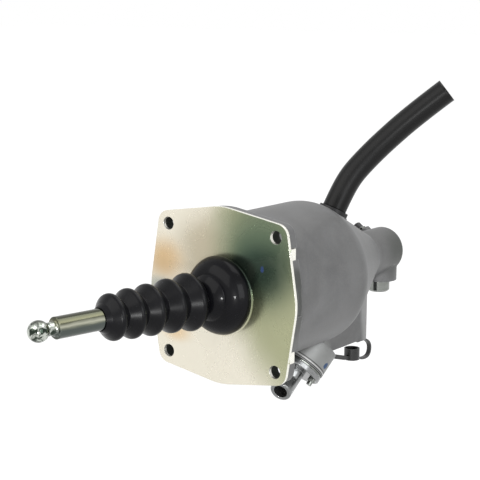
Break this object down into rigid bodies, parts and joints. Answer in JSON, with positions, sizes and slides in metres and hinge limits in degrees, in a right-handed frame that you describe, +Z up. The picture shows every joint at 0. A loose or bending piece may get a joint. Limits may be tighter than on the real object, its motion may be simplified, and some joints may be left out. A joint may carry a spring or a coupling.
{
  "type": "clutch servo",
  "caption": "Air assisted clutch servo: bolted plate and cast cylinder, booted push rod with a ball end, valve block, inlet elbow and exhaust hose.",
  "frame": {"origin": "where the push rod's axis meets the mounting face of the plate", "axes": "cylinder lies along +Y, +Z is up as fitted, X runs across the plate, and the push rod points along -Y, swung 11 degrees to -X about its inner ball, as in the picture"},
  "size_m": [0.1484, 0.4594, 0.2792],
  "materials": {
    "cast_aluminium": "matt die-cast",
    "yellow_zinc": "yellow passivated zinc on pressed steel",
    "zinc_steel": "zinc plated turned steel",
    "zinc_casting": "bright cast",
    "black_rubber": "satin moulded",
    "hose_rubber": "smooth extruded",
    "black_plastic": "moulded",
    "gasket_sheet": "pressed fibre sheet",
    "machined_aluminium": "turned",
    "ground_steel": "ground",
    "spring_steel": "drawn wire",
    "bronze": "turned",
    "copper": "flat washer",
    "pale_plastic": "moulded"
  },
  "bodies": {
    "casing": {"housing": "cast_aluminium", "mounting_plate": "yellow_zinc", "plate_gasket": "gasket_sheet", "rubber_boot": "black_rubber", "guide_bush": "bronze", "plunger_seal": "black_rubber", "exhaust_spigot": "black_plastic", "exhaust_hose": "hose_rubber", "port_washer": "copper", "port_adapter": "zinc_steel", "return_spring": "spring_steel", "pilot_plug": "zinc_steel", "pilot_spring": "spring_steel", "valve_seat": "bronze", "inlet_valve_spring": "spring_steel", "inlet_elbow": "zinc_casting", "elbow_o_ring": "black_rubber", "elbow_circlip": "zinc_steel", "elbow_screw": "zinc_steel", "cap_strap": "black_rubber"},
    "piston": {"power_piston": "machined_aluminium", "piston_guide_ring": "pale_plastic", "piston_seal": "black_rubber", "hydraulic_plunger": "ground_steel", "rod_retainer": "zinc_steel"},
    "ball_cup": {"ball_cup": "pale_plastic"},
    "push_rod": {"push_rod": "zinc_steel"},
    "pilot_piston": {"pilot_piston": "machined_aluminium", "pilot_seal": "black_rubber"},
    "inlet_valve": {"inlet_valve": "black_rubber"},
    "bleed_screw": {"bleed_screw": "zinc_steel", "bleed_cap": "black_rubber"}
  },
  "joints": [
    {"name": "piston_slide", "type": "slide", "parent": "casing", "child": "piston", "axis": [0, 1, 0], "range_m": [0, 0.065], "stiffness_N_per_m": 400, "springref_m": -0.05, "deforming": ["return_spring", "rubber_boot"]},
    {"name": "rod_swing", "type": "hinge", "parent": "piston", "child": "ball_cup", "pos_m": [0, 0.008, 0], "axis": [0, 0, 1], "range_deg": [0, 22], "deforming": ["rubber_boot"]},
    {"name": "rod_tilt", "type": "hinge", "parent": "ball_cup", "child": "push_rod", "pos_m": [0, 0.008, 0], "axis": [0.9816, -0.1908, 0], "range_deg": [-4, 4], "deforming": ["rubber_boot"]},
    {"name": "pilot_slide", "type": "slide", "parent": "casing", "child": "pilot_piston", "axis": [0, 0, -1], "range_m": [0, 0.003], "stiffness_N_per_m": 2000, "springref_m": -0.004, "deforming": ["pilot_spring"]},
    {"name": "inlet_valve_slide", "type": "slide", "parent": "casing", "child": "inlet_valve", "axis": [-0.2106, -0.642, -0.7372], "range_m": [0, 0.0018], "stiffness_N_per_m": 1500, "springref_m": -0.004, "deforming": ["inlet_valve_spring"]},
    {"name": "bleed_screw_turn", "type": "hinge", "parent": "casing", "child": "bleed_screw", "pos_m": [-0.01965, 0.255, 0.0148], "axis": [-0.7986, 0, 0.6018], "range_deg": [0, 270]}
  ]
}
